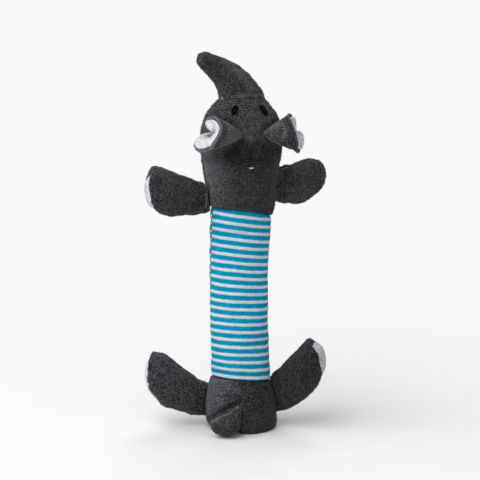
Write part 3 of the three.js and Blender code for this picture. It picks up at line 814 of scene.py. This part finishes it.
class Shader(Nodes):
    def __init__(self, name):
        self.material = bpy.data.materials.new(name)
        self.material.use_nodes = True
        super().__init__(self.material.node_tree)
        self.bsdf = self.tree.nodes["Principled BSDF"]

    def set(self, **values):
        self.fill(self.bsdf, **values)


def srgb(r, g, b):
    """The linear colour of an sRGB colour from 0 to 255."""
    return tuple(c / 12.92 if c <= 0.04045 else ((c + 0.055) / 1.055) ** 2.4
                 for c in (r / 255, g / 255, b / 255)) + (1.0,)


PILE_ROW = 1.4              # the pitch of the pile's rows, in millimetres
STRIPE_PITCH = 5.1          # a blue and a white stripe, in millimetres
COURSES = 4                 # rows of stitches in a pitch
WALE = 1.3                  # the width of a stitch, in millimetres
BLUE_PART = (0.605, 0.65)   # where in a pitch the blue ends


def plush_material(name, dark, light, tip, edge, pile, sheen, rows=1.0, grain=1.0):
    """Short pile in faint rows: fine strands that part here and there and show the dark between them.
    Painted highlights lighten rims, folds and seam edges towards the edge colour, and painted shade darkens
    the pile by its painted light level and in grooves and folds.
    """
    s = Shader(name)
    rest = s.attribute("rest", "Vector")
    strand = s.noise(rest, pile, 3.0, 0.62, 0.4)
    clump = s.noise(rest, pile * 3.0, roughness=0.55)
    patch = s.noise(rest, 0.03)
    drift = s.times(s.minus(s.noise(rest, 0.004), 0.5), 1.6)
    row = s.math("SINE", s.times(s.plus(s.attribute("nap"), drift), 2 * math.pi / PILE_ROW))
    tone = s.plus(s.times(strand, 0.82), s.times(clump, 0.18))
    tone = s.plus(tone, s.times(row, 0.032 * rows))
    raised = s.ramp(tone, 0.5 - 0.17 / grain, 0.5 + 0.17 / grain)
    colour = s.mix(raised, dark, light)
    colour = s.mix(s.times(s.ramp(patch, 0.4, 0.7), 0.3), colour, tip)
    # painted highlight: towards the edge colour on rims, folds, ridges and seam edges, and a little on the
    # tufts' ends
    colour = s.mix(s.times(s.attribute("tip"), 0.85), colour, edge)
    # painted light and shade: the lower a point's painted light level, the darker its pile, the raised
    # strands a little less
    shade = s.times(s.minus(1.0, s.attribute("painted_light"), clamp=True),
                    s.minus(1.33, s.times(raised, 0.5)), clamp=True)
    colour = s.mix(shade, colour, s.mix(1.0, colour, (0.16, 0.16, 0.16, 1), "MULTIPLY"))
    # painted shade in grooves, folds, root gaps and under the ears
    colour = s.mix(s.times(s.attribute("crease_shade"), 0.8, clamp=True), colour, s.mix(0.6, dark, (0, 0, 0, 1)))
    height = s.plus(s.times(strand, 0.7), s.times(clump, 0.5))
    height = s.plus(height, s.times(row, 0.05 * rows))
    s.set(base_color=colour, roughness=0.9, specular_ior_level=0.12, sheen_weight=sheen,
          sheen_roughness=0.4, normal=s.bump(height, 0.0013))
    return s.material


def knit_material(name):
    """Striped jersey: rows of looped stitches in two colours."""
    s = Shader(name)
    rest = s.attribute("rest", "Vector")
    course = s.attribute("course")       # up the sleeve, in millimetres, square to the stripes
    wale = s.attribute("wale")           # round the sleeve, in millimetres
    arm = s.math("ABSOLUTE", s.minus(s.part_of(wale, WALE), 0.5))
    wobble = s.times(s.minus(s.noise(rest, 0.004, 1.0), 0.5), 0.5)
    row = s.plus(s.plus(course, s.times(s.minus(arm, 0.25), 1.1)), wobble)
    phase = s.part_of(row, STRIPE_PITCH)
    white_share = s.plus(s.minus(1.0, s.ramp(phase, 0.0, 0.045)), s.ramp(phase, *BLUE_PART), clamp=True)
    loop = s.part_of(row, STRIPE_PITCH / COURSES)
    loop = s.minus(1.0, s.math("POWER", s.math("ABSOLUTE", s.minus(s.times(loop, 2.0), 1.0)), 2.0))
    leg = s.math("SINE", s.times(arm, 2 * math.pi))
    stitch = s.times(s.plus(s.times(loop, 0.75), 0.25), s.plus(s.times(leg, 0.7), 0.3))
    fuzz = s.noise(rest, 0.0006, 3.0, 0.6)
    melange = s.ramp(s.noise(rest, 0.0022), 0.3, 0.7)
    teal = s.mix(melange, srgb(0, 150, 190), srgb(0, 172, 212))
    white = s.mix(melange, srgb(214, 230, 242), srgb(234, 245, 252))
    colour = s.mix(white_share, teal, white)
    # painted shade in the hollows between the loops
    colour = s.mix(s.times(s.minus(1.0, stitch, clamp=True), 0.3), colour,
                   s.mix(0.5, colour, srgb(4, 60, 84)))
    # painted shade in the seam's groove
    colour = s.mix(s.times(s.attribute("crease_shade"), 0.5, clamp=True), colour, srgb(20, 60, 80))
    fine = s.bump(fuzz, 0.0002, 0.7)
    s.set(base_color=colour, roughness=0.9, specular_ior_level=0.06,
          normal=s.bump(stitch, 0.00045, normal=fine))
    return s.material


def thread_material(name, dark, light, roughness, specular):
    s = Shader(name)
    drawn_out = s.new("VectorMath", s.attribute("rest", "Vector"), (1, 1, 2.5), operation="MULTIPLY")
    twist = s.noise(drawn_out.outputs[0], 0.0007)
    s.set(base_color=s.mix(s.ramp(twist, 0.3, 0.7), dark, light), roughness=roughness,
          specular_ior_level=specular, normal=s.bump(twist, 0.00012, 0.6))
    return s.material


def plastic_material(name, colour, milk):
    s = Shader(name)
    place = s.new("TexCoord").outputs["Object"]
    flow = s.noise(place, 0.006, 3.0)
    s.set(base_color=s.mix(s.ramp(flow, 0.2, 0.8), colour, milk), roughness=0.28,
          transmission_weight=0.6, normal=s.bump(s.noise(place, 0.0015), 0.00005, 0.4))
    return s.material


# The fourth colour of each plush is its painted highlight, for rims, folds and seam edges
charcoal = plush_material("charcoal_plush", srgb(12, 12, 14), srgb(106, 109, 113), srgb(118, 121, 126),
                          srgb(176, 177, 178), 0.00075, 0.10, grain=2.3)
fluffy_white = plush_material("white_plush", srgb(204, 202, 213), srgb(240, 239, 247), srgb(248, 248, 252),
                              srgb(250, 250, 253), 0.0013, 0.3, rows=0.0, grain=0.8)
knit = knit_material("striped_knit")
black_thread = thread_material("black_thread", srgb(0, 0, 1), srgb(6, 6, 7), 0.7, 0.06)
white_thread = thread_material("white_thread", srgb(190, 192, 196), srgb(226, 228, 232), 0.6, 0.25)
clear_plastic = plastic_material("clear_plastic", srgb(214, 222, 226), srgb(236, 240, 242))


# ------ painted light and shade
# How light each piece is painted: below 1, painted shade darkens it
PAINTED_LIGHT_LEVEL = {"left_arm": 0.33, "right_arm": 0.35, "left_foot": 0.5, "right_foot": 0.13, "tail": 0.4,
           "trunk": 0.41, "left_ear_outer": 0.8, "right_ear_outer": 0.52, "left_arm_sole": 1.0,
           "right_arm_sole": 0.85, "left_foot_sole": 1.0, "right_foot_sole": 0.8}


def painted_light_at(name, co):
    """Painted light and shade, from 1 for none to 0 for the darkest: lighter on the left, towards the key
    lamp, and darker on the right; on the head the chest darkens most to the right and the forehead is darker
    than the face.
    """
    across, height = co / MM @ VIEW_RIGHT, (co / MM)[:, 2]
    if name == "rump":
        return 0.98 - 0.87 * smoothstep(-17, 13, across)
    if name == "head":
        chest = 0.83 - 0.59 * smoothstep(-20, 0, across) - 0.15 * smoothstep(4, 20, across)
        face = 0.72 - 0.24 * smoothstep(202, 210, height)
        return chest + (face - chest) * smoothstep(186, 194, height)
    return np.full(len(co), PAINTED_LIGHT_LEVEL.get(name, 1.0))


def surface_points(obj, density, rng):
    """Points spread over the mesh, so many to the square millimetre, with normals and nearby corners."""
    co = coords(obj)
    faces = np.array([(f[0], f[1], f[2], f[-1]) for f in faces_of(obj)])
    p0, p1, p2, p3 = (co[faces[:, i]] for i in range(4))
    cross = np.cross(p2 - p0, p3 - p1)
    area = np.linalg.norm(cross, axis=1) / 2 / MM ** 2
    count = int(area.sum() * density)
    chosen = rng.choice(len(faces), count, p=area / area.sum())
    u, v = rng.random(count)[:, None], rng.random(count)[:, None]
    place = ((p0[chosen] * (1 - u) + p1[chosen] * u) * (1 - v) + (p3[chosen] * (1 - u) + p2[chosen] * u) * v)
    return place, unit(cross[chosen]), faces[chosen, 0]


def add_tufts(obj, density, length, width, droop, seed):
    """Short tapered tufts of pile, three-sided and closed, joined to the mesh. Lengths in millimetres."""
    place, normal, chosen = surface_points(obj, density, np.random.default_rng(seed))
    old = {a.name: np.array([x.value for x in a.data]) for a in obj.data.attributes
           if a.data_type == "FLOAT"}
    if "crease_shade" in old:
        open_pile = old["crease_shade"][chosen] < 0.4
        place, normal, chosen = place[open_pile], normal[open_pile], chosen[open_pile]
    rng = np.random.default_rng(seed + 1)
    count = len(place)
    stray = rng.normal(size=(count, 3))
    lean = unit(normal + 0.45 * stray + np.array((0, 0, -droop)))
    side = unit(np.cross(normal, stray))
    other = np.cross(normal, side)
    reach = (length * (0.65 + 0.7 * rng.random(count)))[:, None] * MM
    base = place - normal * 0.3 * MM
    rows = [base + width / 2 * MM * (math.cos(a) * side + math.sin(a) * other) for a in turns(3)]
    rows.append(place + lean * reach)
    co = coords(obj)
    verts = np.concatenate([co, np.stack(rows, 1).reshape(-1, 3)])
    verts[:, 2] = verts[:, 2].clip(0.00002)
    faces = faces_of(obj)
    for s in range(len(co), len(verts), 4):
        faces += [[s, s + 1, s + 3], [s + 1, s + 2, s + 3], [s + 2, s, s + 3], [s, s + 2, s + 1]]
    obj.data = new_mesh(obj.name, verts, faces)
    for key, value in old.items():
        set_attribute(obj, key, np.concatenate([value, np.repeat(value[chosen], 4)]))
    # the mesh keeps its painted highlights; the tufts' ends are a little lighter
    tip = np.concatenate([np.zeros(len(co)) + old.get("tip", 0), np.tile([0, 0, 0, 0.22], count)])
    set_attribute(obj, "tip", tip)


def dress(obj, material):
    mesh = obj.data
    mesh.materials.clear()
    mesh.materials.append(material)
    mesh.polygons.foreach_set("use_smooth", [True] * len(mesh.polygons))
    set_attribute(obj, "rest", coords(obj))
    for key in ("crease_shade", "nap", "tip", "painted_light"):
        if key not in mesh.attributes:
            set_attribute(obj, key, np.zeros(len(mesh.vertices)))


# ------ the knit's stripes and the sag
HEM_HEIGHT = 36.9
SLEEVE_RADIUS = 18.5
SKEW = ((38, 52.6, 84, 114.6, 140), (-0.02, -0.06, -0.035, 0.011, 0.053))   # heights, and the slope there


def hem_slip(height):
    """How far the lower hem of the sleeve has slipped down, in millimetres."""
    return 2.5 * peak(height, 36, 11)


def stripes(obj):
    """Writes where each point lies up and round the knit, whose courses the stuffing pulls askew."""
    co = coords(obj) / MM
    across, toward = co @ VIEW_RIGHT, co @ VIEW_FRONT
    skew = np.interp(co[:, 2], *SKEW)
    course = co[:, 2] + skew * across - 0.04 * toward + 0.12 * lumps(co * MM, 0.012, 4)
    course -= hem_slip(co[:, 2])
    back = seam_offset("sleeve", co * MM) > 0
    course = np.where(back, course + STRIPE_PITCH / 2, course) - HEM_HEIGHT + 10 * STRIPE_PITCH
    set_attribute(obj, "course", course)
    set_attribute(obj, "wale", np.arctan2(co[:, 1], co[:, 0]) * SLEEVE_RADIUS + 200)
    along(obj, 0.13 * np.cos(2 * math.pi * (course / STRIPE_PITCH - 0.79)))


def hang(co, place):
    """Sags the whole toy a little: the sleeve's hems slope down to the right and up to the front."""
    if place in GROUPS and place != "tail":
        return co
    mm = co / MM
    across, height = mm @ VIEW_RIGHT, mm[:, 2]
    share = smoothstep(8, 32, height) * (1 - smoothstep(150, 176, height))
    rise = share * (0.10 * (mm @ VIEW_FRONT) - 0.088 * across.clip(-24, 24))
    rise -= hem_slip(height)
    out = co.copy()
    if place == "rump":
        rise -= 2.0 * smoothstep(-6, 10, across) * (1 - smoothstep(3, 14, height))
        foot = (1 - smoothstep(1, 10, height)) * smoothstep(-4, 9, across)
        out[:, :2] *= 1 + 0.05 * foot[:, None]
    out[:, 2] = (out[:, 2] + rise * MM).clip(ABOVE_FLOOR)
    return out


# How strong the painted highlight on the stitched edge of each root is
ROOT_EDGE = {"trunk": 0.9, "left_arm": 0.9, "right_arm": 0.15, "left_foot": 0.15, "right_foot": 0.15,
             "tail": 0.5}


def root_seam(name, co):
    """The painted shade in the gap and the lighter stitched edge, a painted highlight in dashes, where a
    form is sewn on to the head or the rump.
    """
    gap = distances(carriers[SEWN_ON[name]], co, 0.006) / MM
    stitch = 0.5 + 0.35 * np.sin(2 * math.pi * (co[:, 2] + co[:, 0]) / MM / 2.1) + 0.7 * lumps(co, 0.0025, 8)
    place = gap - 1.2 - 0.4 * lumps(co, 0.005, 9)
    return peak(gap, 0, 0.6), peak(place, 0, 0.5) * stitch.clip(0, 1)


# ------ dressing
stripes(made["sleeve"])
for name in FORMS:
    obj = made[name]
    # painted shade in the seam grooves, the folds and the gaps at the roots
    mark = np.maximum(grooves[name], fold_shade.get(name, 0))
    if name != "sleeve":
        co = coords(obj)
        # painted highlights along the rolled seam edges, at the fold highlights and on the stitched root
        # edges
        edge = np.maximum(0.3 * peak(np.abs(seam_offset(name, co)), 1.7, 0.6), fold_highlights.get(name, 0))
        if name in ROOT_EDGE:
            dark, light = root_seam(name, co)
            mark = np.maximum(mark, (0.3 if name == "trunk" else 0.8) * dark)
            edge = np.maximum(edge, ROOT_EDGE[name] * light)
        set_attribute(obj, "tip", edge * (1 - mark.clip(0, 1)))
    set_attribute(obj, "crease_shade", mark)
bare_head = mesh_tree(made["head"])

for name, obj in made.items():
    co = coords(obj)
    if name == "sleeve":
        set_coords(obj, hang(co, name))
        dress(obj, knit)
        continue
    soft_white = name.endswith(("_sole", "_lining"))
    place = name.rsplit("_", 1)[0] if soft_white or name.endswith("_outer") else name
    grain = lumps(co, 0.0012, 1) + 0.6 * lumps(co, 0.0024, 2)
    along(obj, grain * (0.2 if soft_white else 0.08))
    outwards = place in GROUPS and "ear" not in place
    set_attribute(obj, "nap", local(co, place)[:, 0] if outwards else co[:, 2] / MM)
    set_coords(obj, hang(coords(obj), place))
    # the painted highlights raise the painted light level too
    edge = obj.data.attributes.get("tip")
    light = np.array([x.value for x in edge.data]) if edge else 0
    set_attribute(obj, "painted_light", np.maximum(painted_light_at(name, co), light))
    if soft_white:
        add_tufts(obj, 2.0, 0.8, 0.5, 0.2, 11)
        dress(obj, fluffy_white)
    else:
        add_tufts(obj, 1.0, 0.75, 0.34, 0.5, 12)
        dress(obj, charcoal)

for node in ("squeaker_base", "squeaker_cap", "whistle_body", "whistle_reed", "reed_clip"):
    for material_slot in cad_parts[node].material_slots:
        material_slot.material = clear_plastic


# ------ threads
def tube(points, radius, n=6):
    """A closed n-sided thread along a line of points, in metres, that thins out at both ends."""
    points = np.array(points)
    step = unit(np.gradient(points, axis=0))
    side = unit(np.cross(step, np.array([0.31, 0.17, 0.94])))
    other = np.cross(step, side)
    count = len(points)
    size = radius * np.sqrt(np.clip(1 - np.linspace(-1, 1, count) ** 4, 0.12, 1))
    verts = [points[i] + size[i] * (math.cos(a) * side[i] + math.sin(a) * other[i])
             for i in range(count) for a in turns(n)]
    sides = [(i * n + k, i * n + (k + 1) % n) for i in range(count - 1) for k in range(n)]
    ends = [list(range(n))[::-1], list(range((count - 1) * n, count * n))]
    return verts, [[a, b, b + n, a + n] for a, b in sides] + ends


def onto(tree, place, lift):
    """The nearest point of a surface, lifted off it by millimetres."""
    hit = tree.find_nearest(Vector(place))
    return np.array(hit[0]) + np.array(hit[1]) * lift * MM


def upright(tree, pixel):
    """The point of a surface behind a pixel, in metres, and the directions up and right on the surface."""
    centre, normal = at_pixel(tree, *pixel)
    up = np.array([0, 0, 1.0]) - normal * normal[2]
    up /= np.linalg.norm(up)
    return centre * MM, up, np.cross(up, normal)


def satin_oval(pixel, width, height, lean, seed):
    """Satin stitch: threads side by side across an oval, lying over a low pad."""
    centre, up, right = upright(bare_head, pixel)
    width /= max(0.55, abs(right @ VIEW_RIGHT))
    turn = math.radians(lean)
    up, right = up * math.cos(turn) + right * math.sin(turn), right * math.cos(turn) - up * math.sin(turn)
    rng = np.random.default_rng(seed)
    parts = []
    rows = int(height / 0.42)
    for i in range(rows):
        v = (i + 0.5) / rows * 2 - 1
        half = width / 2 * math.sqrt(max(0.05, 1 - abs(v) ** 2.3)) * (1 + 0.06 * rng.normal())
        tilt = 0.22 * rng.normal()
        line = []
        for t in np.linspace(-1, 1, 9):
            place = centre + (right * half * t + up * (v * height / 2 + tilt * t * 0.3)) * MM
            pad = 0.75 * math.sqrt(max(0, 1 - 0.8 * t * t)) * math.sqrt(max(0, 1 - 0.75 * v * v)) + 0.15
            line.append(onto(bare_head, place, pad))
        parts.append(tube(line, 0.00029))
    return joined(parts)


def crossed_stitches(pixel):
    """Two short crossed stitches with a loose end."""
    centre, up, right = upright(bare_head, pixel)
    parts = []
    for x, z, lift in ((1.5, 0.12, 0.5), (1.3, -0.32, 0.7), (0.35, 0.6, 0.8)):
        line = [onto(bare_head, centre + (right * x * t + up * z * t) * MM, 0.1 + lift * (1 - t * t))
                for t in np.linspace(-1, 1, 9)]
        parts.append(tube(line, 0.00026))
    return joined(parts)


for node, threads, material, slot in (
        ("left_eye", satin_oval((234.8, 110.4), 4.3, 7.0, 12, 5), black_thread, "black_thread"),
        ("right_eye", satin_oval((263.6, 110.2), 4.2, 7.8, -20, 6), black_thread, "black_thread"),
        ("chest_tack", crossed_stitches((251.2, 168)), white_thread, "white_thread")):
    obj = new_object(node + "_thread", *threads)
    dress(obj, material)
    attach(obj, "head")
    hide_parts(node)

# ------ bodies
for name, nodes in FORMS.items():
    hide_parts(*nodes)
for name in [n for n in made if n not in FORMS]:
    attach(made[name], name.rsplit("_", 1)[0])
    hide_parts(name)

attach(made["head"], "head")
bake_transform(made["sleeve"], "torso", "head", start=(-0.003, 0, 0.122), end=(-0.003, 0, 0.146))
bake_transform(made["rump"], "rump", "torso", start=(0, 0, 0.026), end=(0, 0, 0.0345))
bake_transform(made["trunk"], "head", "trunk", start=(0.0004, 0, 0.217), end=(0.0004, 0, 0.232))
for name in (*LIMB, "tail"):
    line = [(0, -2, 0), (0, -10, 0)] if name == "tail" else [(0.5, 0, 0), (9, 0, 0)]
    start, end = from_local(line, name)
    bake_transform(made[name], SEWN_ON[name], name, start=tuple(start), end=tuple(end))


# ------ studio
BACKDROP = srgb(249, 249, 249)
LIT_HEIGHT = 0.13           # where the lamps point


def stage_floor():
    """A pale floor that reaches to the horizon and glows white away from the toy."""
    sides = 48
    verts, faces = [(0, 0, 0)], []
    for k, radius in enumerate((0.25, 0.6, 1.5, 4, 12)):
        verts += [(radius * math.cos(a), radius * math.sin(a), 0) for a in turns(sides)]
        for i in range(sides):
            a, b = 1 + k * sides + i, 1 + k * sides + (i + 1) % sides
            faces.append((0, a, b) if k == 0 else (a - sides, a, b, b - sides))
    floor = new_object("floor", verts, faces)
    s = Shader("pale_floor")
    place = s.new("TexCoord").outputs["Object"]
    mottle = s.noise(place, 0.03, 3.0)
    s.set(base_color=s.mix(mottle, srgb(231, 231, 231), srgb(237, 237, 237)), roughness=0.8)
    glow = s.new("Emission", BACKDROP)
    away = s.new("VectorMath", place, operation="LENGTH").outputs["Value"]
    share = s.times(s.ramp(away, 0.08, 0.42), s.seen())
    both = s.new("MixShader", share, s.bsdf.outputs[0], glow.outputs[0])
    s.fill(s.tree.nodes["Material Output"], surface=both.outputs[0])
    floor.data.materials.append(s.material)


def lamp(name, azimuth, elevation, distance, size, power, colour=(1, 1, 1)):
    """A square soft box that faces the toy. Azimuth 0 is in front of the camera's side."""
    place = Vector(direction(VIEW_AZIMUTH + math.radians(azimuth), math.radians(elevation))) * distance
    place.z += LIT_HEIGHT
    data = bpy.data.lights.new(name, "AREA")
    data.size, data.energy, data.color = size, power, colour
    obj = add_object(name, data)
    obj.location = place
    obj.rotation_euler = (Vector((0, 0, LIT_HEIGHT)) - place).to_track_quat("-Z", "Y").to_euler()
    obj.visible_camera = False


stage_floor()
lamp("key", -52, 50, 1.5, 1.8, 30.0, (1, 0.99, 0.975))
lamp("fill", 48, 25, 1.8, 1.0, 3.2, (0.96, 0.98, 1))
lamp("back", 165, 40, 1.6, 1.0, 7.0)

world = bpy.data.worlds.new("studio")
world.use_nodes = True
sky = Nodes(world.node_tree)
light = sky.fill(sky.tree.nodes["Background"], color=(1, 1, 1, 1), strength=0.27)
pale = sky.new("Background", BACKDROP)
both = sky.new("MixShader", sky.seen(), light.outputs[0], pale.outputs[0])
sky.fill(sky.tree.nodes["World Output"], surface=both.outputs[0])
scene.world = world

# ------ camera
SENSOR_WIDTH = 36
camera_data = bpy.data.cameras.new("camera")
camera_data.sensor_width = SENSOR_WIDTH
camera_data.lens = SENSOR_WIDTH * CAMERA_DISTANCE / PICTURE_WIDTH
camera = add_object("camera", camera_data)
camera.location = CAMERA_PLACE
camera.rotation_euler = (-Vector(TOWARD)).to_track_quat("-Z", "Y").to_euler()
scene.camera = camera
scene.view_settings.view_transform = "Standard"
